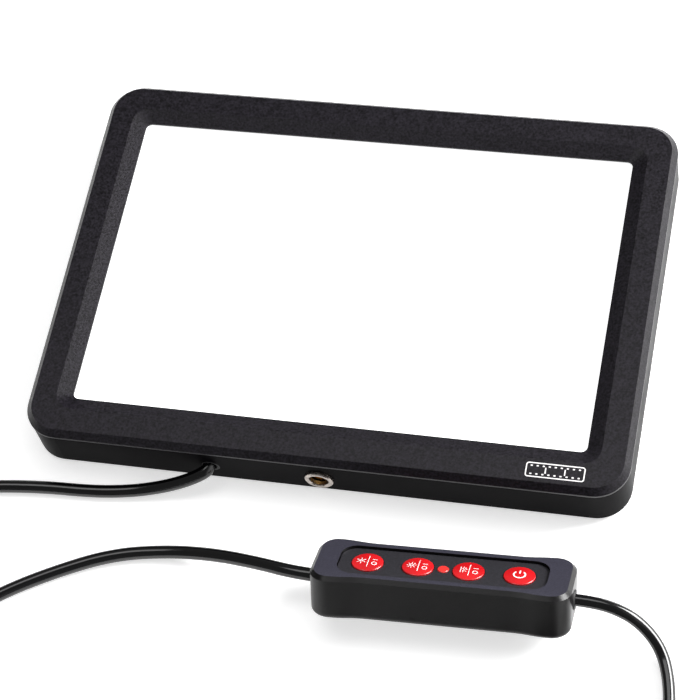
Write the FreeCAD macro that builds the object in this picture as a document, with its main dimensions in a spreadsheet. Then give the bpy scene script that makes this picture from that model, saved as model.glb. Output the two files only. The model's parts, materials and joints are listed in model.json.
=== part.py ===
import FreeCAD, Part
import math
import os
import Sketcher
from FreeCAD import Placement, Rotation, Vector

# LED light table for film: a slim panel that lies flat on four rubber feet, and an in-line
# controller with four push buttons between the panel and a USB plug.
# Frame: origin on the table under the middle of the panel, +Z up, +X to the right,
# the side with the tripod socket and the cord faces -Y. Millimetres.

doc = FreeCAD.newDocument("light_table")
sheet = doc.addObject("Spreadsheet::Sheet", "Sizes")

SIZES = {
    # panel outline
    "panel_width": 193.0, "panel_depth": 134.5, "panel_top": 20.0, "corner_radius": 11.0,
    "window_width": 165.0, "window_depth": 105.7, "window_radius": 2.0,
    # front bezel
    "bevel_width": 1.9, "bevel_drop": 2.2, "lip_height": 0.9, "parting_gap": 0.7,
    "slope_width": 4.7, "slope_drop": 2.1, "lip_ledge": 0.6,
    "skirt_height": 2.7, "skirt_wall": 2.0, "skirt_gap": 0.2,
    # rear shell
    "feet_lift": 1.0, "shell_inset": 0.2, "shell_wall": 2.2, "shell_floor": 2.2, "floor_round": 1.2,
    "boss_x": 88.9, "boss_y": 59.9, "boss_radius": 2.9, "boss_foot": 6.0, "screw_well": 3.0,
    # optical stack, counted down from the opal sheet
    "tape_thick": 0.3, "opal_thick": 3.0, "film_thick": 0.3, "guide_thick": 3.0,
    "reflector_thick": 0.3, "plate_thick": 1.5,
    "opal_lap": 3.0, "guide_width": 168.0, "guide_depth": 110.4, "plate_width": 168.0,
    "strip_length": 162.0, "strip_height": 4.4, "strip_thick": 1.0,
    "chip_length": 3.5, "chip_height": 2.8, "chip_depth": 0.7, "chip_count": 24,
    # feet, socket and cord hole on the near side
    "foot_x": 78.0, "foot_y": 49.0, "foot_radius": 5.0, "foot_height": 1.8,
    "socket_height": 8.6, "socket_bore": 2.6, "collar_radius": 4.55, "collar_bore": 3.1,
    "cord_hole_x": -35.2, "cord_height": 8.9, "bush_radius": 3.0,
    # controller, in its own frame: length along X, width along Y, top rim at Z = 0
    "ctl_length": 78.9, "ctl_width": 23.6, "ctl_waist": 21.8, "ctl_height": 14.6,
    "ctl_corner": 6.0, "ctl_bevel": 1.2, "ctl_foot_round": 1.6, "ctl_wall": 2.0, "ctl_roof": 3.1,
    "waist_half": 22.0, "flare_half": 33.0,
    "recess_length": 63.6, "recess_width": 15.6, "recess_corner": 5.0,
    "recess_depth": 1.5, "label_thick": 0.6,
    "base_length": 74.4, "base_width": 16.6, "base_thick": 1.8,
    "button_pitch": 15.37, "button_radius": 4.8, "button_gap": 0.2, "button_flange": 5.3,
    "button_proud": 0.35, "button_dome": 0.35, "board_thick": 1.2, "board_level": -9.6,
    # cords and plug
    "lead_diameter": 4.2, "usb_diameter": 3.8,
    "coil_mean_radius": 22.0, "coil_rows": 3, "coil_layers": 3, "coil_lift": 0.8,
    "plug_length": 20.0, "plug_width": 15.6, "plug_height": 8.0,
    "shell_long": 18.8, "shell_wide": 12.0, "shell_high": 4.5, "shell_sheet": 0.3,
}

for row, (alias, number) in enumerate(SIZES.items(), start=1):
    sheet.set(f"A{row}", alias)
    sheet.set(f"B{row}", str(number))
    sheet.setAlias(f"B{row}", alias)
doc.recompute()


def size(expression):
    """Value of a sheet expression, with aliases written as they are in the sheet."""
    return float(sheet.evalExpression(bound(expression)))


def bound(expression):
    """The same expression with every alias pointing at the sheet."""
    words = []
    for word in expression.replace("(", " ( ").replace(")", " ) ").split():
        words.append("Sizes." + word if word in SIZES else word)
    return " ".join(words)


# heights above the table that several pieces share
SHELL_TOP = "panel_top - bevel_drop - lip_height - parting_gap"
LIP_BOTTOM = "panel_top - bevel_drop - lip_height"
LEDGE_TOP = "panel_top - slope_drop"
LEDGE_BOTTOM = "panel_top - slope_drop - lip_ledge"
OPAL_TOP = "panel_top - slope_drop - lip_ledge - tape_thick"
FILM_TOP = OPAL_TOP + " - opal_thick"
GUIDE_TOP = FILM_TOP + " - film_thick"
REFLECTOR_TOP = GUIDE_TOP + " - guide_thick"
PLATE_TOP = REFLECTOR_TOP + " - reflector_thick"
PLATE_BOTTOM = PLATE_TOP + " - plate_thick"
FLOOR_TOP = "feet_lift + shell_floor"
SHELL_WIDTH = "panel_width - 2 * shell_inset"
SHELL_DEPTH = "panel_depth - 2 * shell_inset"
NEAR_FACE = "0 - panel_depth / 2 + shell_inset"

kept = []


def keep(thing, label):
    thing.Label = label
    kept.append(thing)
    return thing


# ---------------------------------------------------------------- sketch helpers
def new_body(name):
    return doc.addObject("PartDesign::Body", name)


def new_sketch(body, height="0", role="XY_Plane"):
    sketch = body.newObject("Sketcher::SketchObject", body.Name + "_sketch")
    plane = next(item for item in body.Origin.OriginFeatures if item.Role == role)
    sketch.AttachmentSupport = [(plane, "")]
    sketch.MapMode = "FlatFace"
    sketch.setExpression("AttachmentOffset.Base.z", bound(height))
    return sketch


def named_constraint(sketch, name, expression, *details):
    index = sketch.addConstraint(Sketcher.Constraint(*details))
    sketch.renameConstraint(index, name)
    sketch.setExpression("Constraints." + name, bound(expression))


def rounded_rectangle(sketch, width, depth, radius, x=0.0, y=0.0):
    w, d, r = size(width) / 2, size(depth) / 2, size(radius)
    arcs = []
    for sx, sy, start in ((1, 1, 0), (-1, 1, 90), (-1, -1, 180), (1, -1, 270)):
        circle = Part.Circle(Vector(x + sx * (w - r), y + sy * (d - r), 0), Vector(0, 0, 1), r)
        arc = Part.ArcOfCircle(circle, math.radians(start), math.radians(start + 90))
        arcs.append(sketch.addGeometry(arc, False))
    lines = []
    for first, second in ((0, 1), (1, 2), (2, 3), (3, 0)):
        a = sketch.getPoint(arcs[first], 2)
        b = sketch.getPoint(arcs[second], 1)
        lines.append(sketch.addGeometry(Part.LineSegment(a, b), False))
        sketch.addConstraint(Sketcher.Constraint("Tangent", arcs[first], 2, lines[-1], 1))
        sketch.addConstraint(Sketcher.Constraint("Tangent", lines[-1], 2, arcs[second], 1))
    sketch.addConstraint(Sketcher.Constraint("Horizontal", lines[0]))
    sketch.addConstraint(Sketcher.Constraint("Vertical", lines[1]))
    for other in arcs[1:]:
        sketch.addConstraint(Sketcher.Constraint("Equal", arcs[0], other))
    named_constraint(sketch, "Radius", radius, "Radius", arcs[0], r)
    named_constraint(sketch, "Width", width, "DistanceX", lines[1], 1, lines[3], 1, 2 * w)
    named_constraint(sketch, "Depth", depth, "DistanceY", lines[2], 1, lines[0], 1, 2 * d)
    sketch.addConstraint(Sketcher.Constraint("DistanceX", -1, 1, lines[3], 1, x + w))
    sketch.addConstraint(Sketcher.Constraint("DistanceY", -1, 1, lines[0], 1, y + d))
    return sketch


def circles(sketch, places, radius):
    first = None
    for x, y in places:
        index = sketch.addGeometry(Part.Circle(Vector(x, y, 0), Vector(0, 0, 1), size(radius)), False)
        sketch.addConstraint(Sketcher.Constraint("DistanceX", -1, 1, index, 3, x))
        sketch.addConstraint(Sketcher.Constraint("DistanceY", -1, 1, index, 3, y))
        if first is None:
            first = index
            named_constraint(sketch, "Radius", radius, "Radius", index, size(radius))
        else:
            sketch.addConstraint(Sketcher.Constraint("Equal", first, index))
    return sketch


def closed_profile(sketch, points):
    """Straight outline through points, each point locked where it is."""
    count = len(points)
    for i in range(count):
        a = Vector(*points[i], 0)
        b = Vector(*points[(i + 1) % count], 0)
        sketch.addGeometry(Part.LineSegment(a, b), False)
    for i in range(count):
        sketch.addConstraint(Sketcher.Constraint("Coincident", i, 2, (i + 1) % count, 1))
    for i in range(count):
        sketch.addConstraint(Sketcher.Constraint("DistanceX", -1, 1, i, 1, points[i][0]))
        sketch.addConstraint(Sketcher.Constraint("DistanceY", -1, 1, i, 1, points[i][1]))
    return sketch


def pad(body, sketch, length, reversed_way=False):
    feature = body.newObject("PartDesign::Pad", body.Name + "_pad")
    feature.Profile = sketch
    feature.setExpression("Length", bound(length))
    feature.Reversed = reversed_way
    doc.recompute()
    return feature


def pocket(body, sketch, depth, upward=True):
    """Cuts from the sketch plane upward, or downward, and insists that something was removed."""
    before = body.Shape.Volume
    feature = body.newObject("PartDesign::Pocket", body.Name + "_pocket")
    feature.Profile = sketch
    feature.setExpression("Length", bound(depth))
    feature.Reversed = upward
    doc.recompute()
    if not body.Shape.Volume < before - 1e-3:
        raise RuntimeError(f"{feature.Name} cuts nothing")
    return feature


def loft(body, kind, lower, upper):
    feature = body.newObject("PartDesign::" + kind, body.Name + "_loft")
    feature.Profile = lower
    feature.Sections = [upper]
    feature.Ruled = True
    doc.recompute()
    return feature


def fillet(body, radius, wanted):
    """Rounds the edges of the body's last shape that wanted(edge) picks out."""
    base = body.Tip
    names = [f"Edge{i + 1}" for i, edge in enumerate(base.Shape.Edges) if wanted(edge)]
    feature = body.newObject("PartDesign::Fillet", body.Name + "_fillet")
    feature.Base = (base, names)
    feature.setExpression("Radius", bound(radius))
    doc.recompute()
    return feature


def revolve(body, sketch, axis):
    feature = body.newObject("PartDesign::Revolution", body.Name + "_revolution")
    feature.Profile = sketch
    feature.ReferenceAxis = (sketch, [axis])
    feature.Angle = 360.0
    doc.recompute()
    return feature


def at_height(edge, height):
    return all(abs(vertex.Z - height) < 1e-4 for vertex in edge.Vertexes)


# ---------------------------------------------------------------- primitive helpers
def box(name, length, width, height, x, y, z):
    """Box whose sizes and corner come from sheet expressions."""
    item = doc.addObject("Part::Box", name)
    item.setExpression("Length", bound(length))
    item.setExpression("Width", bound(width))
    item.setExpression("Height", bound(height))
    for letter, place in zip("xyz", (x, y, z)):
        item.setExpression("Placement.Base." + letter, bound(place))
    return item


def centred_box(name, length, width, height, z, x="0", y="0"):
    return box(name, length, width, height, f"{x} - ({length}) / 2", f"{y} - ({width}) / 2", z)


def cylinder(name, radius, height, base, direction=(0, 0, 1)):
    item = doc.addObject("Part::Cylinder", name)
    item.setExpression("Radius", bound(radius))
    item.setExpression("Height", bound(height))
    item.Placement = Placement(Vector(*base), Rotation(Vector(0, 0, 1), Vector(*direction)))
    return item


def cone(name, radius1, radius2, height, base, direction=(0, 0, 1)):
    item = doc.addObject("Part::Cone", name)
    item.setExpression("Radius1", bound(radius1))
    item.setExpression("Radius2", bound(radius2))
    item.setExpression("Height", bound(height))
    item.Placement = Placement(Vector(*base), Rotation(Vector(0, 0, 1), Vector(*direction)))
    return item


def fuse(name, items):
    joined = doc.addObject("Part::MultiFuse", name)
    joined.Shapes = items
    return joined


def cut(name, base, tool):
    result = doc.addObject("Part::Cut", name)
    result.Base = base
    result.Tool = tool
    return result


def group(name, items):
    gathered = doc.addObject("Part::Compound", name)
    gathered.Links = items
    return gathered


def four(x, y):
    return [(sx * x, sy * y) for sx in (-1, 1) for sy in (-1, 1)]


def cross_screw(name, place, head_radius, head_height, shank_radius, length, direction):
    """Screw with a flat round head and a cross recess. The head's face is at place, and the
    shank runs from the head along direction."""
    way = Vector(*direction).normalize()
    turn = Rotation(Vector(0, 0, 1), way)
    origin = Vector(*place)
    head = cylinder(name + "_head", str(head_radius), str(head_height), origin, way)
    shank = cylinder(name + "_shank", str(shank_radius), str(length - head_height),
                     origin + way * head_height, way)
    slots = []
    slot_depth = head_height * 0.6
    for index, angle in enumerate((0, 90)):
        slot = doc.addObject("Part::Box", f"{name}_slot{index}")
        slot.Length = head_radius * 1.1
        slot.Width = head_radius * 0.26
        slot.Height = slot_depth
        spin = Rotation(Vector(0, 0, 1), angle)
        corner = spin.multVec(Vector(-slot.Length.Value / 2, -slot.Width.Value / 2, 0))
        slot.Placement = Placement(origin + turn.multVec(corner), turn.multiply(spin))
        slots.append(slot)
    return cut(name, fuse(name + "_blank", [head, shank]), fuse(name + "_recess", slots))


# ---------------------------------------------------------------- cord tubes
def tube_wire(points):
    """Straight runs joined by tangent arcs, each arc as large as its two runs allow."""
    nodes = [Vector(*point) for point in points]
    edges, radii = [], []
    last = nodes[0]
    for before, corner, after in zip(nodes, nodes[1:], nodes[2:]):
        back, ahead = before - corner, after - corner
        half_turn = (math.pi - back.getAngle(ahead)) / 2
        reach = 0.45 * min(back.Length, ahead.Length)
        radii.append(reach / math.tan(half_turn))
        back.normalize()
        ahead.normalize()
        start, end = corner + back * reach, corner + ahead * reach
        middle_way = (back + ahead).normalize()
        to_centre = math.hypot(radii[-1], reach)
        middle = corner + middle_way * (to_centre - radii[-1])
        edges.append(Part.LineSegment(last, start).toShape())
        edges.append(Part.Arc(start, middle, end).toShape())
        last = end
    edges.append(Part.LineSegment(last, nodes[-1]).toShape())
    return Part.Wire(edges), radii


def tube(name, points, diameter, label=None):
    wire, radii = tube_wire(points)
    start = Vector(*points[0])
    circle = Part.Circle(start, Vector(*points[1]) - start, diameter / 2)
    ring = Part.Wire([circle.toShape()])
    shape = wire.makePipeShell([ring], True, False)
    expected = math.pi * diameter ** 2 / 4 * wire.Length
    if abs(shape.Volume / expected - 1) > 0.01:
        raise RuntimeError(f"{name}: volume {shape.Volume:.1f}, section times length {expected:.1f}")
    item = doc.addObject("Part::Feature", name)
    item.Shape = shape
    if label:
        keep(item, label)
        listed = " ".join(f"{radius:.0f}" for radius in radii)
        print(f"{label}: length {wire.Length:.0f} mm, bend radii {listed}")
    return item


# ================================================================ panel
def front_bezel():
    body = new_body("bezel")
    plate = rounded_rectangle(new_sketch(body, LIP_BOTTOM), "panel_width", "panel_depth", "corner_radius")
    pad(body, plate, "lip_height")
    low = rounded_rectangle(new_sketch(body, "panel_top - bevel_drop"),
                            "panel_width", "panel_depth", "corner_radius")
    high = rounded_rectangle(new_sketch(body, "panel_top"), "panel_width - 2 * bevel_width",
                             "panel_depth - 2 * bevel_width", "corner_radius - bevel_width")
    loft(body, "AdditiveLoft", low, high)
    # sloped band that leads the eye down to the glowing window
    foot = rounded_rectangle(new_sketch(body, LEDGE_TOP), "window_width", "window_depth", "window_radius")
    brim = rounded_rectangle(new_sketch(body, "panel_top"), "window_width + 2 * slope_width",
                             "window_depth + 2 * slope_width", "window_radius + 3.5")
    loft(body, "SubtractiveLoft", foot, brim)
    through = rounded_rectangle(new_sketch(body, LIP_BOTTOM), "window_width", "window_depth",
                                "window_radius")
    pocket(body, through, f"{LEDGE_TOP} - ( {LIP_BOTTOM} )")
    seat = rounded_rectangle(new_sketch(body, LIP_BOTTOM), "window_width + 2 * opal_lap + 0.6",
                             "window_depth + 2 * opal_lap + 0.6", "1")
    pocket(body, seat, f"{LEDGE_BOTTOM} - ( {LIP_BOTTOM} )")
    # skirt that drops inside the rear shell, behind the dark parting groove
    skirt_width = f"{SHELL_WIDTH} - 2 * shell_wall - 2 * skirt_gap"
    skirt_depth = f"{SHELL_DEPTH} - 2 * shell_wall - 2 * skirt_gap"
    skirt = new_sketch(body, f"{LIP_BOTTOM} - skirt_height")
    rounded_rectangle(skirt, skirt_width, skirt_depth, "corner_radius - shell_inset - shell_wall")
    pad(body, skirt, "skirt_height")
    hollow = new_sketch(body, f"{LIP_BOTTOM} - skirt_height")
    rounded_rectangle(hollow, skirt_width + " - 2 * skirt_wall", skirt_depth + " - 2 * skirt_wall",
                      "corner_radius - shell_inset - shell_wall - skirt_wall")
    pocket(body, hollow, "skirt_height")
    bosses = circles(new_sketch(body, "boss_foot"), four(size("boss_x"), size("boss_y")), "boss_radius")
    pad(body, bosses, f"{LIP_BOTTOM} - boss_foot")
    bores = circles(new_sketch(body, "boss_foot"), four(size("boss_x"), size("boss_y")), "1.25")
    pocket(body, bores, "8")
    return keep(body, "front_bezel")


def rear_shell():
    body = new_body("rear")
    outline = rounded_rectangle(new_sketch(body, "feet_lift"), SHELL_WIDTH, SHELL_DEPTH,
                                "corner_radius - shell_inset")
    pad(body, outline, f"{SHELL_TOP} - feet_lift")
    fillet(body, "floor_round", lambda edge: at_height(edge, size("feet_lift")))
    inside = rounded_rectangle(new_sketch(body, FLOOR_TOP), f"{SHELL_WIDTH} - 2 * shell_wall",
                               f"{SHELL_DEPTH} - 2 * shell_wall",
                               "corner_radius - shell_inset - shell_wall")
    pocket(body, inside, f"{SHELL_TOP} - ( {FLOOR_TOP} )")
    corners = four(size("boss_x"), size("boss_y"))
    wells = circles(new_sketch(body, FLOOR_TOP), corners, "screw_well + 1.2")
    pad(body, wells, f"boss_foot - ( {FLOOR_TOP} )")
    heads = circles(new_sketch(body, "feet_lift"), corners, "screw_well")
    pocket(body, heads, "2.6")
    shanks = circles(new_sketch(body, "feet_lift"), corners, "1.6")
    pocket(body, shanks, "boss_foot")
    # posts that carry the back plate, with pilot bores for its screws
    posts = [(x, y) for x in (-74, 0, 74) for y in (-42, 42)]
    pad(body, circles(new_sketch(body, FLOOR_TOP), posts, "3"), f"{PLATE_BOTTOM} - ( {FLOOR_TOP} )")
    pocket(body, circles(new_sketch(body, f"{PLATE_BOTTOM} - 4"), posts, "0.9"), "4")
    # pads under the wiring board
    seats = [(x, y) for x in (-58, -22) for y in (-46, -32)]
    pad(body, circles(new_sketch(body, FLOOR_TOP), seats, "2.2"), "1.6")
    feet = circles(new_sketch(body, "feet_lift"), four(size("foot_x"), size("foot_y")), "foot_radius + 0.1")
    pocket(body, feet, "foot_height - feet_lift")
    # block behind the near wall that holds the tripod insert
    block = rounded_rectangle(new_sketch(body, FLOOR_TOP), "15", "6.4", "1.5",
                              0.0, size(NEAR_FACE) + size("shell_wall") + 2.9)
    pad(body, block, "13.4 - ( " + FLOOR_TOP + " )")
    # round openings through the near wall; the sketch plane faces -Y
    near = new_sketch(body, "panel_depth / 2 - 11", "XZ_Plane")
    circles(near, [(0.0, size("socket_height"))], "4.0")
    pocket(body, near, "12", upward=True)
    face = new_sketch(body, "panel_depth / 2 - shell_inset - 0.6", "XZ_Plane")
    circles(face, [(0.0, size("socket_height"))], "collar_radius + 0.02")
    pocket(body, face, "2", upward=True)
    cord = new_sketch(body, "panel_depth / 2 - shell_inset - shell_wall - 0.5", "XZ_Plane")
    circles(cord, [(size("cord_hole_x"), size("cord_height"))], "bush_radius")
    pocket(body, cord, "4", upward=True)
    return keep(body, "rear_shell")


def optical_stack():
    lap = "window_width + 2 * opal_lap"
    lap_deep = "window_depth + 2 * opal_lap"
    ring = centred_box("tape_outer", lap, lap_deep, "tape_thick", OPAL_TOP)
    hole = centred_box("tape_inner", "window_width + 1.6", "window_depth + 1.6", "tape_thick + 1",
                       OPAL_TOP + " - 0.5")
    keep(cut("tape", ring, hole), "diffuser_tape")
    keep(centred_box("opal", lap, lap_deep, "opal_thick", FILM_TOP), "opal_diffuser")
    keep(centred_box("film", "guide_width", "guide_depth", "film_thick", GUIDE_TOP), "diffusion_film")
    keep(centred_box("guide", "guide_width", "guide_depth", "guide_thick", REFLECTOR_TOP), "light_guide")
    keep(centred_box("reflector", "guide_width", "guide_depth", "reflector_thick", PLATE_TOP),
         "reflector_sheet")


def back_plate():
    """Aluminium tray: a flat plate with two upturned edges that carry the LED strips."""
    wall = "strip_thick + chip_depth + 0.2"
    plate_depth = f"guide_depth + 2 * ( {wall} ) + 3"
    flat = centred_box("plate_flat", "plate_width", plate_depth, "plate_thick", PLATE_BOTTOM)
    edges = []
    for side, name in ((-1, "near"), (1, "far")):
        y = f"{side} * ( ( {plate_depth} ) / 2 - 0.75 )"
        edges.append(centred_box("plate_edge_" + name, "strip_length + 4", "1.5", "strip_height",
                                 PLATE_TOP, y=y))
    holes = []
    for x in (-74, 0, 74):
        for y in (-42, 42):
            z = size(PLATE_TOP)
            holes.append(cone(f"sink_{len(holes)}", "2.4", "1.2", "1.2", (x, y, z), (0, 0, -1)))
            holes.append(cylinder(f"sink_{len(holes)}", "1.2", "3", (x, y, z), (0, 0, -1)))
    keep(cut("tray", fuse("tray_blank", [flat] + edges), fuse("tray_holes", holes)), "back_plate")


def led_strips():
    pitch = size("strip_length") / size("chip_count")
    chip_face = size("guide_depth") / 2 + 0.2
    board_face = chip_face + size("chip_depth")
    base = size(PLATE_TOP)
    for side, name in ((-1, "near"), (1, "far")):
        y = board_face if side > 0 else -board_face - size("strip_thick")
        keep(box("strip_" + name, "strip_length", "strip_thick", "strip_height",
                 "0 - strip_length / 2", str(y), PLATE_TOP), "led_strip_" + name)
        chips = []
        y = chip_face if side > 0 else -board_face
        for i in range(int(size("chip_count"))):
            x = (i + 0.5) * pitch - size("strip_length") / 2 - size("chip_length") / 2
            chips.append(box(f"chip_{name}_{i}", "chip_length", "chip_depth", "chip_height",
                             str(x), str(y), str(base + 0.7)))
        keep(group("chips_" + name, chips), "led_chips_" + name)


def panel_fasteners():
    rear = [cross_screw(f"rear_screw_{i}", (x, y, size("feet_lift") + 0.6), 2.7, 2.0, 1.25, 11.0, (0, 0, 1))
            for i, (x, y) in enumerate(four(size("boss_x"), size("boss_y")))]
    keep(group("rear_screw_set", rear), "rear_screws")
    sunk = []
    for x in (-74, 0, 74):
        for y in (-42, 42):
            top = size(PLATE_TOP)
            name = f"plate_screw_{len(sunk)}"
            head = cone(name + "_head", "2.35", "1.15", "1.2", (x, y, top), (0, 0, -1))
            shank = cylinder(name + "_shank", "0.9", "3.6", (x, y, top - 1.2), (0, 0, -1))
            sunk.append(fuse(name, [head, shank]))
    keep(group("plate_screw_set", sunk), "plate_screws")
    feet = [cone(f"foot_{i}", "foot_radius - 0.5", "foot_radius", "foot_height", (x, y, 0))
            for i, (x, y) in enumerate(four(size("foot_x"), size("foot_y")))]
    keep(group("foot_set", feet), "rubber_feet")


def tripod_insert():
    """Threaded brass bush along Y with a plated collar round its mouth."""
    wall = -size(NEAR_FACE)
    bore, body_r, mouth = size("socket_bore"), 4.0, size("collar_bore")
    insert = new_body("insert")
    profile = new_sketch(insert)
    closed_profile(profile, [(bore, 59.2 - wall), (body_r, 59.2 - wall), (body_r, -0.6),
                             (mouth, -0.6), (mouth, -0.4), (bore, -1.1)])
    revolve(insert, profile, "V_Axis")
    insert.Placement = Placement(Vector(0, -wall, size("socket_height")),
                                 Rotation(Vector(1, 0, 0), 180))
    keep(insert, "tripod_insert")
    collar = new_body("collar")
    rim = size("collar_radius")
    profile = new_sketch(collar)
    closed_profile(profile, [(mouth, -0.6), (rim, -0.6), (rim, 0.7), (rim - 0.35, 1.0),
                             (mouth + 0.35, 1.0), (mouth, 0.7)])
    revolve(collar, profile, "V_Axis")
    notch = new_sketch(collar, "0", "XZ_Plane")
    circles(notch, [(rim + 0.12, 0.0)], "0.3")
    first = pocket(collar, notch, "2", upward=True)
    pattern = collar.newObject("PartDesign::PolarPattern", "collar_pattern")
    pattern.Originals = [first]
    pattern.Axis = (notch, ["N_Axis"])
    pattern.Angle = 360.0
    pattern.Occurrences = 28
    collar.Tip = pattern
    doc.recompute()
    collar.Placement = insert.Placement
    keep(collar, "insert_collar")


def cord_entry():
    """Rubber bush in the near wall, and the clamp that grips the cord behind it."""
    wall = -size(NEAR_FACE)
    inner, outer = size("lead_diameter") / 2, size("bush_radius")
    thick = size("shell_wall")
    bush = new_body("bush")
    profile = new_sketch(bush)
    closed_profile(profile, [(inner, -3.6), (outer + 1.0, -3.6), (outer + 1.0, -thick),
                             (outer, -thick), (outer, -0.1), (inner, -0.1)])
    revolve(bush, profile, "V_Axis")
    place = Vector(size("cord_hole_x"), -wall, size("cord_height"))
    bush.Placement = Placement(place, Rotation(Vector(1, 0, 0), 180))
    keep(bush, "cord_bush")
    block = box("clamp_block", "11", "2.8", f"cord_height + 3 - ( {FLOOR_TOP} )", "cord_hole_x - 5.5",
                f"{NEAR_FACE} + 4.6", FLOOR_TOP)
    way = cylinder("clamp_way", "lead_diameter / 2", "5", (place.x, -wall + 3.6, place.z), (0, 1, 0))
    keep(cut("clamp", block, way), "cord_clamp")


def wiring():
    """Small board under the back plate, its parts, and the wires to cord and LED strips."""
    board_z = size(FLOOR_TOP) + 1.6
    keep(box("wire_board", "44", "20", "1.2", "-62", "-49", str(board_z)), "wiring_board")
    top = board_z + 1.2
    parts = [("conn_a", 6, 12.5, 2.2, -61, -48), ("conn_b", 8, 5, 2.2, -44, -48.4),
             ("coil_a", 5, 5, 2.0, -40, -40), ("chip_a", 5, 4, 1.5, -32, -40),
             ("cap_a", 3.2, 1.6, 1.6, -32, -46), ("cap_b", 3.2, 1.6, 1.6, -26, -46),
             ("res_a", 2.0, 1.25, 0.6, -48, -33), ("res_b", 2.0, 1.25, 0.6, -44, -33)]
    blocks = [box(name, str(a), str(b), str(c), str(x), str(y), str(top))
              for name, a, b, c, x, y in parts]
    keep(group("wiring_blocks", blocks), "wiring_board_parts")
    wires = []
    strip_y = size("guide_depth") / 2 + 0.2 + size("chip_depth") + size("strip_thick") / 2
    mid = top + 1.1
    for side in (-1, 1):
        for step in (0, 1):
            x_end = -87.0 + 1.6 * step
            board_y = -46.5 + 1.6 * step if side < 0 else -37.2 - 1.6 * step
            route = [(-61.1, board_y, mid), (-70.0, board_y + side * 1.4, mid - 0.4),
                     (x_end, side * (strip_y - 10 + 2 * step), mid - 0.4),
                     (x_end, side * strip_y, mid + 1.2), (x_end, side * strip_y, 11.0 + 1.6 * step),
                     (-81.0, side * strip_y, 11.0 + 1.6 * step)]
            if side > 0:
                route.insert(2, (x_end, -20.0, mid - 0.4))
            wires.append(tube(f"strip_wire_{side}_{step}", route, 1.0))
    for step in (0, 1):
        x = size("cord_hole_x") - 1.0 + 2.0 * step
        start_y = size(NEAR_FACE) + 7.4
        wires.append(tube(f"cord_wire_{step}", [(x, start_y, size("cord_height") - 1.2),
                                                (x, start_y + 4, size("cord_height") - 1.2),
                                                (x - 4.5, -48.8, mid)], 1.0))
    keep(group("wire_set", wires), "inner_wires")


# ================================================================ controller
# The pieces are drawn in the controller's own frame and then laid on the table. The twist of the
# two cords holds it rolled back by CTL_ROLL on its rear lower edge.
CTL_ROLL = 34.0
CTL_YAW = 1.7
CTL_MIDDLE = (45.4, -95.75)


def controller_placement():
    roll = Rotation(Vector(1, 0, 0), -CTL_ROLL)
    turn = Rotation(Vector(0, 0, 1), CTL_YAW).multiply(roll)
    half, height, round_off = size("ctl_width") / 2, size("ctl_height"), size("ctl_foot_round")
    centre = turn.multVec(Vector(0, half - round_off, round_off - height))
    lift = 0.05 + round_off - centre.z
    return Placement(Vector(*CTL_MIDDLE, lift), turn)


def waisted_outline(sketch, inset=0.0):
    """Bar with rounded ends and a shallow waist: straight middle, two tangent arcs at each
    side of it, and wider ends."""
    end, wide = size("ctl_length") / 2 - inset, size("ctl_width") / 2 - inset
    slim = size("ctl_waist") / 2 - inset
    inner, outer = size("waist_half"), size("flare_half")
    corner = size("ctl_corner") - inset
    rise, run = wide - slim, outer - inner
    middle = (inner + run / 2, slim + rise / 2)
    flare_radius = (run ** 2 + rise ** 2) / (4 * rise)
    sag = flare_radius - math.sqrt(flare_radius ** 2 - (math.hypot(run, rise) / 4) ** 2)
    along = Vector(run, rise, 0).normalize()
    out = Vector(-along.y, along.x, 0)
    low_mid = Vector(inner + run / 4, slim + rise / 4, 0) - out * sag
    high_mid = Vector(inner + run * 3 / 4, slim + rise * 3 / 4, 0) + out * sag
    diagonal = corner * (1 - math.sqrt(0.5))
    quarter = [Vector(inner, slim, 0), low_mid, Vector(*middle, 0), high_mid, Vector(outer, wide, 0)]
    corner_arc = [Vector(end - corner, wide, 0), Vector(end - diagonal, wide - diagonal, 0),
                  Vector(end, wide - corner, 0)]

    def placed(points, sx, sy):
        return [Vector(sx * p.x, sy * p.y, 0) for p in points]

    pieces = []
    for sx, sy in ((1, 1), (1, -1), (-1, -1), (-1, 1)):
        q, c = placed(quarter, sx, sy), placed(corner_arc, sx, sy)
        part = [Part.Arc(q[0], q[1], q[2]), Part.Arc(q[2], q[3], q[4]), Part.LineSegment(q[4], c[0]),
                Part.Arc(c[0], c[1], c[2])]
        pieces += part
        mirror = Vector(-q[0].x, q[0].y, 0)
        if sx > 0:
            pieces.append(Part.LineSegment(mirror, q[0]))
        if sy > 0:
            pieces.append(Part.LineSegment(c[2], Vector(c[2].x, -c[2].y, 0)))
    sketch.addGeometry(pieces, False)
    for index in range(len(pieces)):
        sketch.addConstraint(Sketcher.Constraint("Block", index))
    return sketch


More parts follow.
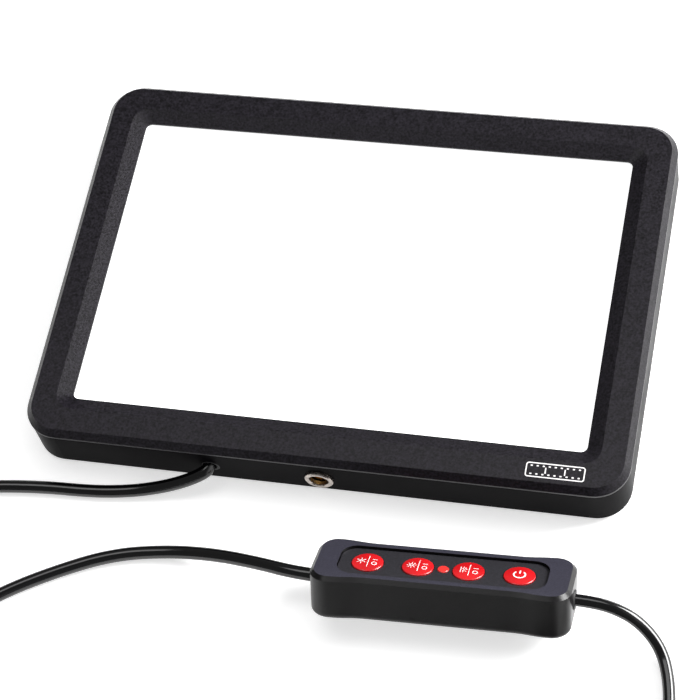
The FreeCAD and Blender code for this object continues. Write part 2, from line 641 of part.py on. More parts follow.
def controller_shells(place):
    top = new_body("ctl_top")
    pad(top, waisted_outline(new_sketch(top, "0 - ctl_height")), "ctl_height")
    low = -size("ctl_height")
    fillet(top, "ctl_foot_round", lambda edge: at_height(edge, low))
    rounded = top.Tip
    rim = [f"Edge{i + 1}" for i, edge in enumerate(rounded.Shape.Edges) if at_height(edge, 0.0)]
    chamfer = top.newObject("PartDesign::Chamfer", "ctl_bevel")
    chamfer.Base = (rounded, rim)
    chamfer.setExpression("Size", bound("ctl_bevel"))
    doc.recompute()
    cavity = rounded_rectangle(new_sketch(top, "0 - ctl_height"), "ctl_length - 4 * ctl_wall",
                               "base_width - 1", "3")
    pocket(top, cavity, "ctl_height - ctl_roof")
    seat = rounded_rectangle(new_sketch(top, "0 - ctl_height"), "base_length + 0.2", "base_width + 0.2", "3.6")
    pocket(top, seat, "base_thick")
    recess = rounded_rectangle(new_sketch(top, "0 - recess_depth"), "recess_length", "recess_width",
                               "recess_corner")
    pocket(top, recess, "recess_depth")
    pitch = size("button_pitch")
    spots = [(pitch * step, 0.0) for step in (-1.5, -0.5, 0.5, 1.5)]
    pocket(top, circles(new_sketch(top, "0 - ctl_roof"), spots, "button_radius + button_gap"), "ctl_roof")
    pocket(top, circles(new_sketch(top, "0 - ctl_roof"), [(0.0, 0.0)], "1.8"), "ctl_roof")
    ends = circles(new_sketch(top, "0 - ctl_length", "YZ_Plane"), [(0.0, -size("ctl_height") / 2)], "2.6")
    pocket(top, ends, "2 * ctl_length", upward=True)
    posts = [(-32.0, 0.0), (32.0, 0.0)]
    post_length = "ctl_height - ctl_roof - base_thick"
    pad(top, circles(new_sketch(top, "base_thick - ctl_height"), posts, "2.2"), post_length)
    pocket(top, circles(new_sketch(top, "base_thick - ctl_height"), posts, "0.8"), "6")
    top.Placement = place
    keep(top, "controller_top")

    base = new_body("ctl_base")
    lid = rounded_rectangle(new_sketch(base, "0 - ctl_height"), "base_length", "base_width", "3.5")
    pad(base, lid, "base_thick")
    for x in (-24.0, 24.0):
        rib = rounded_rectangle(new_sketch(base, "base_thick - ctl_height"), "2", "12", "0.5", x)
        pad(base, rib, "board_level - board_thick + ctl_height - base_thick")
    pocket(base, circles(new_sketch(base, "0 - ctl_height"), posts, "2.0"), "1.0")
    pocket(base, circles(new_sketch(base, "0 - ctl_height"), posts, "1.1"), "base_thick")
    base.Placement = place
    keep(base, "controller_base")

    plate = new_body("ctl_label")
    face = rounded_rectangle(new_sketch(plate, "0 - recess_depth"), "recess_length - 0.3",
                             "recess_width - 0.3", "recess_corner - 0.15")
    pad(plate, face, "label_thick")
    hole = circles(new_sketch(plate, "0 - recess_depth"), spots, "button_radius + button_gap")
    pocket(plate, hole, "label_thick")
    pocket(plate, circles(new_sketch(plate, "0 - recess_depth"), [(0.0, 0.0)], "1.8"), "label_thick")
    plate.Placement = place
    keep(plate, "label_plate")


def controller_buttons(place):
    """Domed push buttons, each held under the roof by a flange, above its switch plunger."""
    face = size("label_thick") - size("recess_depth")
    rim = face + size("button_proud")
    roof = -size("ctl_roof")
    radius, dome, flange_radius = size("button_radius"), size("button_dome"), size("button_flange")
    edge = radius - 0.15
    dome_radius = (edge ** 2 + dome ** 2) / (2 * dome)
    board = size("board_level")
    switch_top = board + 3.4
    for index, name in enumerate(("cool", "white", "warm", "power")):
        x = size("button_pitch") * (index - 1.5)
        body = new_body("button_" + name)
        sketch = new_sketch(body, "0", "XZ_Plane")
        flange = roof - 0.1
        stem = flange - 0.8
        outline = [Vector(0, switch_top + 1.0, 0), Vector(1.7, switch_top + 1.0, 0), Vector(1.7, stem, 0),
                   Vector(flange_radius, stem, 0), Vector(flange_radius, flange, 0),
                   Vector(radius, flange, 0), Vector(radius, rim - 0.15, 0),
                   Vector(edge, rim, 0)]
        crown = Vector(0, rim + dome, 0)
        half_sag = dome_radius - math.sqrt(dome_radius ** 2 - edge ** 2 / 4)
        bulge = Vector(edge / 2, rim + dome - half_sag, 0)
        edges = [Part.LineSegment(a, b) for a, b in zip(outline, outline[1:])]
        edges += [Part.Arc(outline[-1], bulge, crown), Part.LineSegment(crown, outline[0])]
        sketch.addGeometry(edges, False)
        for line in range(len(edges)):
            sketch.addConstraint(Sketcher.Constraint("Block", line))
        revolve(body, sketch, "V_Axis")
        body.Placement = place.multiply(Placement(Vector(x, 0, 0), Rotation()))
        keep(body, "button_" + name)
        plunger = cylinder("plunger_" + name, "1.7", "1.6", (0, 0, 0))
        plunger.Placement = place.multiply(Placement(Vector(x, 0, switch_top - 0.6), Rotation()))
        keep(plunger, "plunger_" + name)


def controller_inside(place):
    level = size("board_level")
    pitch = size("button_pitch")
    blank = centred_box("ctl_board_blank", "57", "13.6", "board_thick", "board_level - board_thick")
    for axis in "xyz":
        blank.setExpression("Placement.Base." + axis, None)
    blank.Placement = place.multiply(Placement(Vector(-28.5, -6.8, level - size("board_thick")), Rotation()))
    keep(blank, "controller_board")

    def local_box(name, length, width, height, x, y, z):
        item = doc.addObject("Part::Box", name)
        item.Length, item.Width, item.Height = length, width, height
        item.Placement = place.multiply(Placement(Vector(x - length / 2, y - width / 2, z), Rotation()))
        return item

    switches = []
    for index in range(4):
        x = pitch * (index - 1.5)
        case = local_box(f"switch_case_{index}", 6.2, 6.2, 3.4, x, 0, level)
        well = cylinder(f"switch_well_{index}", "1.85", "3.0", (0, 0, 0))
        well.Placement = place.multiply(Placement(Vector(x, 0, level + 1.0), Rotation()))
        switches.append(cut(f"switch_{index}", case, well))
    keep(group("switch_set", switches), "switch_bodies")
    chips = [local_box("ctl_chip", 5.0, 6.0, 1.6, -pitch, 0, level),
             local_box("ctl_cap", 3.2, 1.6, 1.6, 5.0 - pitch, 4.0, level)]
    chips += [local_box(f"ctl_fet_{i}", 2.9, 1.6, 1.1, pitch, 3.6 * (i - 1), level) for i in range(3)]
    keep(group("ctl_chip_set", chips), "controller_board_parts")
    keep(local_box("ctl_led", 1.6, 0.8, 0.7, 0, 0, level), "status_led")

    lens = new_body("lens")
    face = size("label_thick") - size("recess_depth")
    roof = -size("ctl_roof")
    outline = [(0.0, level + 0.9), (1.5, level + 0.9), (1.5, roof - 0.8), (1.95, roof - 0.8),
               (1.95, roof), (1.75, roof), (1.75, face + 0.1), (1.55, face + 0.3), (0.0, face + 0.3)]
    closed = new_sketch(lens, "0", "XZ_Plane")
    closed_profile(closed, outline)
    revolve(lens, closed, "V_Axis")
    lens.Placement = place
    keep(lens, "status_lens")

    screws = []
    for index, x in enumerate((-32.0, 32.0)):
        screw = cross_screw(f"ctl_screw_{index}", (x, 0, 0.1 - size("ctl_height")), 1.9, 0.9, 0.8, 6.0,
                            (0, 0, 1))
        screw.Placement = place
        screws.append(screw)
    keep(group("ctl_screw_set", screws), "controller_screws")


def controller_bushes(place):
    """Soft end bushes: a flange outside and one inside each end wall, bored for the cord."""
    end, middle = size("ctl_length") / 2, -size("ctl_height") / 2
    wall = 2 * size("ctl_wall")
    for side, name, bore in ((-1, "left", "lead_diameter"), (1, "right", "usb_diameter")):
        inner = size(bore) / 2
        body = new_body("ctl_bush_" + name)
        profile = new_sketch(body)
        closed_profile(profile, [(inner, -wall - 1.0), (3.4, -wall - 1.0), (3.4, -wall), (2.6, -wall),
                                 (2.6, 0.0), (3.1, 0.0), (2.9, 0.4), (inner, 0.4)])
        revolve(body, profile, "V_Axis")
        lay = Rotation(Vector(0, 1, 0), Vector(side, 0, 0))
        body.Placement = place.multiply(Placement(Vector(side * end, 0, middle), lay))
        keep(body, "bush_" + name)


# ================================================================ cords and plug
CONTROLLER = controller_placement()


def controller_point(x, y, z):
    """A point given in the controller's frame, in the part's frame."""
    spot = CONTROLLER.multVec(Vector(x, y, z))
    return (spot.x, spot.y, spot.z)


def panel_lead():
    """From the wiring inside the panel, out of the near wall, round a loose loop on the table
    at the left, and into the controller's left end."""
    inside = size(NEAR_FACE) + 7.4
    on_table = size("lead_diameter") / 2
    end, middle = size("ctl_length") / 2, -size("ctl_height") / 2
    points = [(-35.2, inside, 8.9), (-35.2, -69.2, 8.9), (-38.0, -72.6, 8.3), (-43.6, -75.0, 6.7),
              (-51.8, -76.8, 4.4), (-62.0, -77.9, 2.5), (-76.0, -78.2, on_table),
              (-92.0, -78.4, on_table), (-110.0, -79.8, on_table), (-131.0, -83.2, on_table),
              (-150.0, -91.5, on_table), (-162.5, -107.5, on_table), (-162.0, -127.0, on_table),
              (-148.5, -141.0, on_table), (-129.0, -141.5, on_table), (-111.5, -129.5, on_table),
              (-95.5, -115.5, on_table), (-79.5, -105.2, on_table), (-62.5, -98.8, 2.4),
              (-45.0, -95.8, 3.4), (-27.5, -95.6, 6.2), (-12.0, -97.6, 9.2),
              controller_point(-end - 9.0, 0.3, middle + 0.2), controller_point(-end + 5.4, 0, middle)]
    tube("lead_tube", points, size("lead_diameter"), "panel_lead")


def usb_lead():
    """From the controller's right end down to the table, away to the coil."""
    on_table = size("usb_diameter") / 2
    end, middle = size("ctl_length") / 2, -size("ctl_height") / 2
    coil_x, coil_y, _ = coil_centre()
    entry_x = coil_x + size("coil_mean_radius + usb_diameter")
    points = [controller_point(end - 5.4, 0, middle), controller_point(end + 5.4, 0.2, middle),
              (100.4, -99.7, 9.3), (107.0, -102.7, 5.4), (112.0, -108.0, 2.7), (114.9, -116.0, on_table),
              (116.4, -126.0, on_table), (entry_x + 0.4, -138.0, on_table + 0.2),
              (entry_x - 0.3, -150.5, on_table + 0.6), (entry_x, coil_y, size("coil_lift") + on_table)]
    tube("usb_tube", points, size("usb_diameter"), "usb_lead")


def coil_centre():
    return 90.7, -164.0, size("coil_lift")


def usb_coil():
    """The part of the USB lead that is put away: a neat round coil, as its outer shape."""
    body = new_body("coil")
    across = size("coil_rows * usb_diameter")
    tall = size("coil_layers * usb_diameter")
    ring = new_sketch(body, "0", "XZ_Plane")
    rounded_rectangle(ring, "coil_rows * usb_diameter", "coil_layers * usb_diameter",
                      "usb_diameter / 2", size("coil_mean_radius"), tall / 2)
    revolve(body, ring, "V_Axis")
    body.Placement = Placement(Vector(*coil_centre()), Rotation())
    keep(body, "usb_coil")
    # the tie goes once round the coil's section on the side away from the panel
    x, y, z = coil_centre()
    strap, width = size("coil_lift") - 0.05, 9.0
    outer = doc.addObject("Part::Box", "tie_outer")
    outer.Length, outer.Width, outer.Height = across + 2 * strap + 0.6, width, tall + 2 * strap + 0.3
    inner = doc.addObject("Part::Box", "tie_inner")
    inner.Length, inner.Width, inner.Height = across + 0.6, width + 2, tall + 0.3
    angle = Rotation(Vector(0, 0, 1), 150)
    middle = Vector(x, y, 0) + angle.multVec(Vector(size("coil_mean_radius"), 0, 0))
    for item, low in ((outer, 0.05), (inner, 0.05 + strap)):
        corner = Vector(-item.Length.Value / 2, -item.Width.Value / 2, 0)
        item.Placement = Placement(middle + angle.multVec(corner) + Vector(0, 0, low), angle)
    keep(cut("tie", outer, inner), "coil_tie")


PLUG_AT = (54.0, -194.6)
PLUG_TURN = 187.0


def usb_plug():
    """USB-A plug lying flat beside the coil: moulded grip with its strain relief, steel shell,
    insulating tongue and four contacts. Drawn along +X from the cord's entry."""
    middle = size("plug_height") / 2
    place = Placement(Vector(*PLUG_AT, middle + 0.05), Rotation(Vector(0, 0, 1), PLUG_TURN))
    relief = 13.0
    grip = new_body("plug_grip")
    block = new_sketch(grip, str(relief), "YZ_Plane")
    rounded_rectangle(block, "plug_width", "plug_height", "2.4")
    pad(grip, block, "plug_length")
    sleeve = new_sketch(grip, "0", "XZ_Plane")
    bore = size("usb_diameter") / 2
    steps = 6
    profile = [(relief + 0.5, 0.0), (0.0, 0.0), (0.0, bore + 0.5)]
    for i in range(steps):
        x = relief * i / steps
        swell = bore + 0.5 + 0.9 * i / steps
        profile += [(x + relief / steps * 0.6, swell + 0.1), (x + relief / steps * 0.6, swell - 0.35),
                    (x + relief / steps, swell - 0.35), (x + relief / steps, swell + 0.2)]
    profile.append((relief + 0.5, profile[-1][1]))
    closed_profile(sleeve, profile)
    revolve(grip, sleeve, "H_Axis")
    for edges_at in (relief, relief + size("plug_length")):
        fillet(grip, "0.8", lambda edge: all(abs(v.X - edges_at) < 1e-4 for v in edge.Vertexes)
               and edge.BoundBox.YLength + edge.BoundBox.ZLength > 1.0
               and max(abs(v.Y) for v in edge.Vertexes) > 4)
    mouth = new_sketch(grip, str(relief + size("plug_length") - 3), "YZ_Plane")
    rounded_rectangle(mouth, "shell_wide + 0.02", "shell_high + 0.02", "0.6")
    pocket(grip, mouth, "4", upward=True)
    grip.Placement = place
    keep(grip, "plug_grip")

    start = relief + size("plug_length") - 2.9
    steel = new_body("plug_steel")
    outside = rounded_rectangle(new_sketch(steel, str(start), "YZ_Plane"), "shell_wide", "shell_high", "0.6")
    pad(steel, outside, "shell_long")
    inside = rounded_rectangle(new_sketch(steel, str(start), "YZ_Plane"), "shell_wide - 2 * shell_sheet",
                               "shell_high - 2 * shell_sheet", "0.3")
    pocket(steel, inside, "shell_long", upward=True)
    windows = new_sketch(steel, "0", "XY_Plane")
    for y in (-3.0, 3.0):
        first = windows.GeometryCount
        x0, x1, y0, y1 = start + 8.4, start + 10.9, y - 1.25, y + 1.25
        spots = [Vector(x0, y0, 0), Vector(x1, y0, 0), Vector(x1, y1, 0), Vector(x0, y1, 0)]
        for i in range(4):
            windows.addGeometry(Part.LineSegment(spots[i], spots[(i + 1) % 4]), False)
            windows.addConstraint(Sketcher.Constraint("Block", first + i))
    opening = steel.newObject("PartDesign::Pocket", "plug_windows")
    opening.Profile = windows
    opening.Length = 10
    opening.Midplane = True
    doc.recompute()
    steel.Placement = place
    keep(steel, "plug_shell")

    def local_box(name, length, width, height, x, y, z):
        item = doc.addObject("Part::Box", name)
        item.Length, item.Width, item.Height = length, width, height
        item.Placement = place.multiply(Placement(Vector(x, y - width / 2, z), Rotation()))
        return item

    inner_low = -size("shell_high") / 2 + size("shell_sheet")
    keep(local_box("plug_insulator", size("shell_long") - 1.2, 10.9, 1.84, start, 0, inner_low + 0.01),
         "plug_tongue")
    contacts = [local_box(f"contact_{i}", 7.6 if i in (0, 3) else 6.6, 1.0, 0.2,
                          start + size("shell_long") - 9.4,
                          y, inner_low + 1.85)
                for i, y in enumerate((-3.5, -1.0, 1.0, 3.5))]
    keep(group("contact_set", contacts), "plug_contacts")


def usb_tail():
    """Last stretch of the cord: it leaves the coil in the middle layer of the outer turns and
    comes down to the plug."""
    x, y, lift = coil_centre()
    turn_y = y - size("coil_mean_radius + usb_diameter")
    turn_z = lift + 1.5 * size("usb_diameter")
    turn = math.radians(PLUG_TURN)
    plug_x, plug_y = PLUG_AT
    height = size("plug_height") / 2 + 0.05
    back = 9.0
    points = [(x, turn_y, turn_z), (x - 8.5, turn_y - 0.3, turn_z - 0.1),
              (x - 17.9, turn_y - 1.7, turn_z - 1.2),
              (plug_x - back * math.cos(turn), plug_y - back * math.sin(turn), height + 0.1),
              (plug_x, plug_y, height)]
    tube("tail_tube", points, size("usb_diameter"), "usb_tail")


front_bezel()
rear_shell()
optical_stack()
back_plate()
led_strips()
panel_fasteners()
tripod_insert()
cord_entry()
wiring()
controller_shells(CONTROLLER)
controller_buttons(CONTROLLER)
controller_inside(CONTROLLER)
controller_bushes(CONTROLLER)
panel_lead()
usb_lead()
usb_coil()
usb_plug()
usb_tail()
doc.recompute()

for item in doc.Objects:
    if "Invalid" in item.State or "Error" in item.State:
        raise RuntimeError(f"{item.Name} failed: {item.State}")
os.makedirs("parts", exist_ok=True)
for item in kept:
    shape = item.Shape
    if shape.isNull() or not shape.isValid() or not shape.Solids:
        raise RuntimeError(f"{item.Label} has no valid solid")
    shape.exportStep(f"parts/{item.Label}.step")
print(len(kept), "nodes written")
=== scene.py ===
import json
import math
import bpy
import bmesh
from mathutils import Matrix, Vector
from mathutils.bvhtree import BVHTree


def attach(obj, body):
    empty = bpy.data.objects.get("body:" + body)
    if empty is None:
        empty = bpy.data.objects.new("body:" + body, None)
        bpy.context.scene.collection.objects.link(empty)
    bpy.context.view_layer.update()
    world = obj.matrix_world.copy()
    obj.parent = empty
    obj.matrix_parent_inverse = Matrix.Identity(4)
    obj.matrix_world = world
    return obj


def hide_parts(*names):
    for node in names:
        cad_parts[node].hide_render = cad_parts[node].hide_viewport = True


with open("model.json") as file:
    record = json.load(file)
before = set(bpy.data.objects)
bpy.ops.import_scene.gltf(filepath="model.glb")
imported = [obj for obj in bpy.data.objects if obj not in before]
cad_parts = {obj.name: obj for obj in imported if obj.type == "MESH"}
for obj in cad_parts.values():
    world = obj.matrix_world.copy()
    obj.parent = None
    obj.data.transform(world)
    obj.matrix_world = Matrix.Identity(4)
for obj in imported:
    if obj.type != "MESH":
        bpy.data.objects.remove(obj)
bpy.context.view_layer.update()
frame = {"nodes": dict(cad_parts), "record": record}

# A slim light table for film: a black panel round a glowing opal window, with its push-button
# controller on the USB lead. Scene units are metres; sizes below are in millimetres.
nodes = frame["nodes"]
root = "light_table"
mm = 0.001


def metres(point):
    return Vector(point) * mm


def toLinear(code):  # "#rrggbb" as on a colour chart (sRGB) to the linear colour a shader takes
    channels = [int(code[i:i + 2], 16) / 255 for i in (1, 3, 5)]
    return tuple(c / 12.92 if c <= 0.04045 else ((c + 0.055) / 1.055) ** 2.4 for c in channels) + (1.0,)


def add(tree, kind, sockets=None, **settings):  # one node with its settings, values and links
    node = tree.nodes.new(kind)
    for name, value in settings.items():
        setattr(node, name, value)
    for name, value in (sockets or {}).items():
        if isinstance(value, bpy.types.NodeSocket):
            tree.links.new(value, node.inputs[name])
        else:
            node.inputs[name].default_value = value
    return node


camera = {
    "aim": (3.8, -26.9, 20.0),   # on the window, a little nearer than its middle
    "distance": 756.0,
    "azimuth": 25.35,            # degrees, round from the near side towards the right
    "elevation": 59.73,
    "roll": -16.6,
    "lens": 123.5, "sensor": 36.0,
    "clip": (0.05, 50.0),        # in metres
}


def makeCamera():
    turned, up = math.radians(camera["azimuth"]), math.radians(camera["elevation"])
    back = Vector((math.sin(turned) * math.cos(up), -math.cos(turned) * math.cos(up), math.sin(up)))
    data = bpy.data.cameras.new("camera")
    data.lens, data.sensor_width = camera["lens"], camera["sensor"]
    data.clip_start, data.clip_end = camera["clip"]
    lens = bpy.data.objects.new("camera", data)
    roll = Matrix.Rotation(math.radians(camera["roll"]), 4, "Z")
    turn = (-back).to_track_quat("-Z", "Y").to_matrix().to_4x4() @ roll
    lens.matrix_world = Matrix.Translation(metres(camera["aim"]) + back * camera["distance"] * mm) @ turn
    bpy.context.scene.collection.objects.link(lens)
    bpy.context.scene.camera = lens


light = {
    # each softbox: which way it hangs from the table, how far, its sides and its power
    "softboxes": {
        "overhead": {"from": (-0.08, 0.2, 1.0), "distance": 1300, "size": (1300, 560), "watts": 6.5},
        "side": {"from": (0.75, 0.44, 0.46), "distance": 1250, "size": (700, 620), "watts": 34.0},
    },
    "roomLow": 0.3,              # radiance near the horizon, straight up, and towards the right
    "roomHigh": 0.25,
    "roomRight": 1.8,
    "floor": "#f6f6f6",
    "floorGlow": 0.6,            # the board is lit from below as well, as a product table is
    "floorReach": 4.0,           # from its middle to its sides, in metres
    "floorDrop": 0.02,           # just under the feet, so that nothing lies in the same plane
}


def makeLight():
    bpy.context.scene.view_settings.view_transform = "Standard"
    for name, facts in light["softboxes"].items():
        data = bpy.data.lights.new(name, "AREA")
        data.shape = "RECTANGLE"
        data.size, data.size_y = (side * mm for side in facts["size"])
        data.energy = facts["watts"]
        lamp = bpy.data.objects.new(name, data)
        towards = Vector(facts["from"]).normalized()
        lamp.location = towards * facts["distance"] * mm
        lamp.rotation_mode = "QUATERNION"
        lamp.rotation_quaternion = towards.to_track_quat("Z", "Y")
        bpy.context.scene.collection.objects.link(lamp)
    world = bpy.data.worlds.new("room")
    bpy.context.scene.world = world
    world.use_nodes = True
    tree = world.node_tree
    tree.nodes.clear()
    place = add(tree, "ShaderNodeTexCoord").outputs["Generated"]
    ways = add(tree, "ShaderNodeSeparateXYZ", {"Vector": place}).outputs
    above = add(tree, "ShaderNodeMapRange", {"Value": ways["Z"], "From Min": 0.2, "From Max": 1.0,
                                             "To Min": light["roomLow"], "To Max": light["roomHigh"]},
                interpolation_type="SMOOTHSTEP").outputs["Result"]
    right = add(tree, "ShaderNodeMapRange", {"Value": ways["X"], "From Min": 0.3, "From Max": 1.0,
                                             "To Min": 0.0, "To Max": light["roomRight"]},
                interpolation_type="SMOOTHSTEP").outputs["Result"]
    both = add(tree, "ShaderNodeMath", {0: above, 1: right}, operation="ADD").outputs[0]
    sky = add(tree, "ShaderNodeBackground", {"Strength": both})
    add(tree, "ShaderNodeOutputWorld", {"Surface": sky.outputs["Background"]})


def makeFloor():
    mesh = bpy.data.meshes.new("floor")
    reach, low = light["floorReach"], -light["floorDrop"] * mm
    mesh.from_pydata([(-reach, -reach, low), (reach, -reach, low), (reach, reach, low),
                      (-reach, reach, low)], [], [(0, 1, 2, 3)])
    floor = bpy.data.objects.new("floor", mesh)
    material = bpy.data.materials.new("painted white board")
    material.use_nodes = True
    tree = material.node_tree
    tree.nodes.clear()
    board = add(tree, "ShaderNodeBsdfPrincipled", {
        "Base Color": toLinear(light["floor"]), "Roughness": 1.0, "Specular IOR Level": 0.0,
        "Emission Color": toLinear(light["floor"]), "Emission Strength": light["floorGlow"]})
    add(tree, "ShaderNodeOutputMaterial", {"Surface": board.outputs["BSDF"]})
    mesh.materials.append(material)
    bpy.context.scene.collection.objects.link(floor)


controller = {
    "middle": (45.4, -95.75),
    "roll": 34.0,                # held back by the twist of its cords, in degrees
    "yaw": 1.7,
    "length": 78.9, "width": 23.6, "height": 14.6,
    "footRound": 1.6,            # of the lower edge that it rests on
    "clear": 0.05,               # between that edge and the table
    "pitch": 15.37,              # from button to button
}


def controllerFrame():  # the controller's own frame: X along it, Z out of its buttons, top rim at 0
    turn = Matrix.Rotation(math.radians(controller["yaw"]), 3, "Z")
    turn = turn @ Matrix.Rotation(-math.radians(controller["roll"]), 3, "X")
    roundOff = controller["footRound"]
    rearEdge = turn @ Vector((0, controller["width"] / 2 - roundOff, roundOff - controller["height"]))
    lift = controller["clear"] + roundOff - rearEdge.z
    return Matrix.Translation(Vector((*controller["middle"], lift))) @ turn.to_4x4()


def onController(x, y, z):  # a point of the controller's frame, in the part's frame, in millimetres
    return tuple(controllerFrame() @ Vector((x, y, z)))


half, midHeight = controller["length"] / 2, -controller["height"] / 2
panelLead = {
    "diameter": 4.2,
    "length": 359.0,
    "exit": (-35.2, -66.9, 8.9),  # the mouth of its bush in the near side
    # from the panel's near side, round a loose loop at the left, into the controller's left end
    "route": [(-35.2, -59.65, 8.9), (-35.2, -67.6, 8.9), (-38.0, -70.0, 8.0), (-44.0, -72.3, 6.0),
              (-51.6, -74.1, 3.9), (-61.0, -75.8, 2.4), (-73.0, -77.3, 2.1), (-91.0, -77.7, 2.1),
              (-110.0, -79.8, 2.1), (-131.0, -83.2, 2.1), (-150.0, -91.5, 2.1), (-162.5, -107.5, 2.1),
              (-162.0, -127.0, 2.1), (-148.5, -141.0, 2.1), (-129.0, -141.5, 2.1),
              (-111.5, -129.5, 2.1), (-95.5, -116.0, 2.1), (-79.5, -106.3, 2.1), (-62.0, -98.0, 2.1),
              (-44.5, -94.7, 2.4), (-28.5, -95.2, 5.4), (-13.5, -97.9, 9.4),
              onController(-half - 5.5, 0, midHeight + 0.4), onController(-half + 5.4, 0, midHeight)],
}
usbLead = {
    "diameter": 3.8,
    # down from the controller's right end and away to the coil
    "lead": [onController(half - 5.4, 0, midHeight), onController(half + 5.4, 0.2, midHeight),
             (100.4, -99.7, 9.3), (107.0, -102.7, 5.4), (112.0, -108.0, 2.7), (114.9, -116.0, 1.9),
             (116.4, -126.0, 1.9), (116.9, -138.0, 2.1), (116.2, -150.5, 2.5)],
    "coilCentre": (90.7, -164.0),
    "coilRadius": 22.0,          # of the middle column of turns
    "coilLift": 0.8,
    # column from the middle one outwards, and layer from the lowest, of each turn in its order
    "turns": [(1, 0), (0, 0), (-1, 0), (-1, 1), (-1, 2), (0, 2), (0, 1), (1, 1)],
    "pointsPerTurn": 18,
    "stepPoints": 3,             # points over which a turn moves to its next place
    "tail": [(82.2, -190.1, 6.4), (72.8, -191.5, 5.3), (62.93, -193.5, 4.15), (54.0, -194.6, 4.05)],
}


def coilTurns():
    # Each turn keeps its place in the bundle and moves to the next over a few points. Where the
    # next step goes another way, it starts that much earlier, so that the turns never meet.
    count, step = usbLead["pointsPerTurn"], usbLead["stepPoints"]
    places = usbLead["turns"]
    starts, at, last = [], 0, None
    for here, there in zip(places, places[1:]):
        way = (there[0] - here[0], there[1] - here[1])
        at += count - (step if last is not None and way != last else 0)
        starts.append(at)
        last = way
    quarter = count // 4
    end = (starts[-1] // count + 1) * count + quarter
    if end - starts[-1] < step:
        end += count
    points = []
    swell = 1 / math.cos(math.pi / count)  # the spline runs inside its points
    for index in range(end):
        column, layer = places[0]
        for start, (here, there) in zip(starts, zip(places, places[1:])):
            share = min(max((index - start) / step, 0.0), 1.0)
            column += (there[0] - here[0]) * share
            layer += (there[1] - here[1]) * share
        radius = (usbLead["coilRadius"] + column * usbLead["diameter"]) * swell
        angle = -2 * math.pi * index / count
        x, y = usbLead["coilCentre"]
        points.append((x + radius * math.cos(angle), y + radius * math.sin(angle),
                       usbLead["coilLift"] + (layer + 0.5) * usbLead["diameter"]))
    return points


def makeCord(name, points, diameter, material):
    curve = bpy.data.curves.new(name, "CURVE")
    curve.dimensions = "3D"
    curve.bevel_depth = diameter / 2  # in millimetres, which each point's radius turns to metres
    curve.bevel_resolution = 7
    curve.resolution_u = 10
    curve.use_fill_caps = True
    spline = curve.splines.new("NURBS")
    spline.points.add(len(points) - 1)
    for place, point in zip(spline.points, points):
        place.co = (*metres(point), 1.0)
        place.radius = mm
    spline.order_u = 3
    spline.use_endpoint_u = True
    spline.use_smooth = True
    piece = bpy.data.objects.new(name, curve)
    bpy.context.scene.collection.objects.link(piece)
    curve.materials.append(material)
    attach(piece, root)
    return piece


def routeLength(piece):  # along the smooth line itself, in metres
    depth = piece.data.bevel_depth
    piece.data.bevel_depth = 0.0
    line = bpy.data.meshes.new_from_object(piece)
    piece.data.bevel_depth = depth
    spots = [vertex.co.copy() for vertex in line.vertices]
    bpy.data.meshes.remove(line)
    return sum((b - a).length for a, b in zip(spots, spots[1:]))


def newFinish(name, colour, roughness, **sockets):
    material = bpy.data.materials.new(name)
    material.use_nodes = True
    tree = material.node_tree
    tree.nodes.clear()
    shader = add(tree, "ShaderNodeBsdfPrincipled",
                 {"Base Color": toLinear(colour), "Roughness": roughness, **sockets})
    add(tree, "ShaderNodeOutputMaterial", {"Surface": shader.outputs["BSDF"]})
    place = add(tree, "ShaderNodeTexCoord").outputs["Object"]
    place = add(tree, "ShaderNodeVectorMath", {0: place, "Scale": 1 / mm}, operation="SCALE").outputs[0]
    return material, tree, shader, place  # place is in millimetres on the piece


def mottled(finish, size, colours=None, gloss=None, detail=3.0):
    # colour and gloss that drift over patches of this size, in millimetres
    material, tree, shader, place = finish
    patches = add(tree, "ShaderNodeTexNoise", {"Vector": place, "Scale": 1 / size, "Detail": detail})
    share = add(tree, "ShaderNodeMapRange", {"Value": patches.outputs["Fac"],
                                             "From Min": 0.3, "From Max": 0.7}).outputs["Result"]
    if colours:
        tint = add(tree, "ShaderNodeMix", {0: share, 6: toLinear(colours[0]), 7: toLinear(colours[1])},
                   data_type="RGBA")
        tree.links.new(tint.outputs[2], shader.inputs["Base Color"])
    if gloss:
        rough = add(tree, "ShaderNodeMapRange", {"Value": patches.outputs["Fac"], "From Min": 0.3,
                                                 "From Max": 0.7, "To Min": gloss[0], "To Max": gloss[1]})
        tree.links.new(rough.outputs["Result"], shader.inputs["Roughness"])
    return finish


def grained(finish, grain, depth, kind="noise", stretch=None):
    # relief of this grain and depth, in millimetres; stretch draws it out along one way
    material, tree, shader, place = finish
    if stretch:
        place = add(tree, "ShaderNodeVectorMath", {0: place, 1: stretch}, operation="MULTIPLY").outputs[0]
    if kind == "noise":
        relief = add(tree, "ShaderNodeTexNoise", {"Vector": place, "Scale": 1 / grain, "Detail": 2.0,
                                                  "Roughness": 0.6}).outputs["Fac"]
    else:
        relief = add(tree, "ShaderNodeTexVoronoi", {"Vector": place, "Scale": 1 / grain}).outputs["Distance"]
    bump = add(tree, "ShaderNodeBump", {"Height": relief, "Distance": depth * mm, "Strength": 1.0})
    tree.links.new(bump.outputs["Normal"], shader.inputs["Normal"])
    return finish


def sparkEtchedAbs():
    # ABS moulded in a spark-eroded tool: deep matt black whose fine grain breaks the light into a
    # faint sparkle. The real grain is about 0.15 mm; 0.7 mm is the finest that shows.
    finish = newFinish("spark etched ABS", "#0c0b0d", 0.36, **{"IOR": 1.53, "Specular IOR Level": 0.2})
    mottled(finish, 0.7, colours=("#020103", "#1e1b22"), gloss=(0.3, 0.44), detail=2.0)
    return grained(finish, 0.7, 0.07)[0]


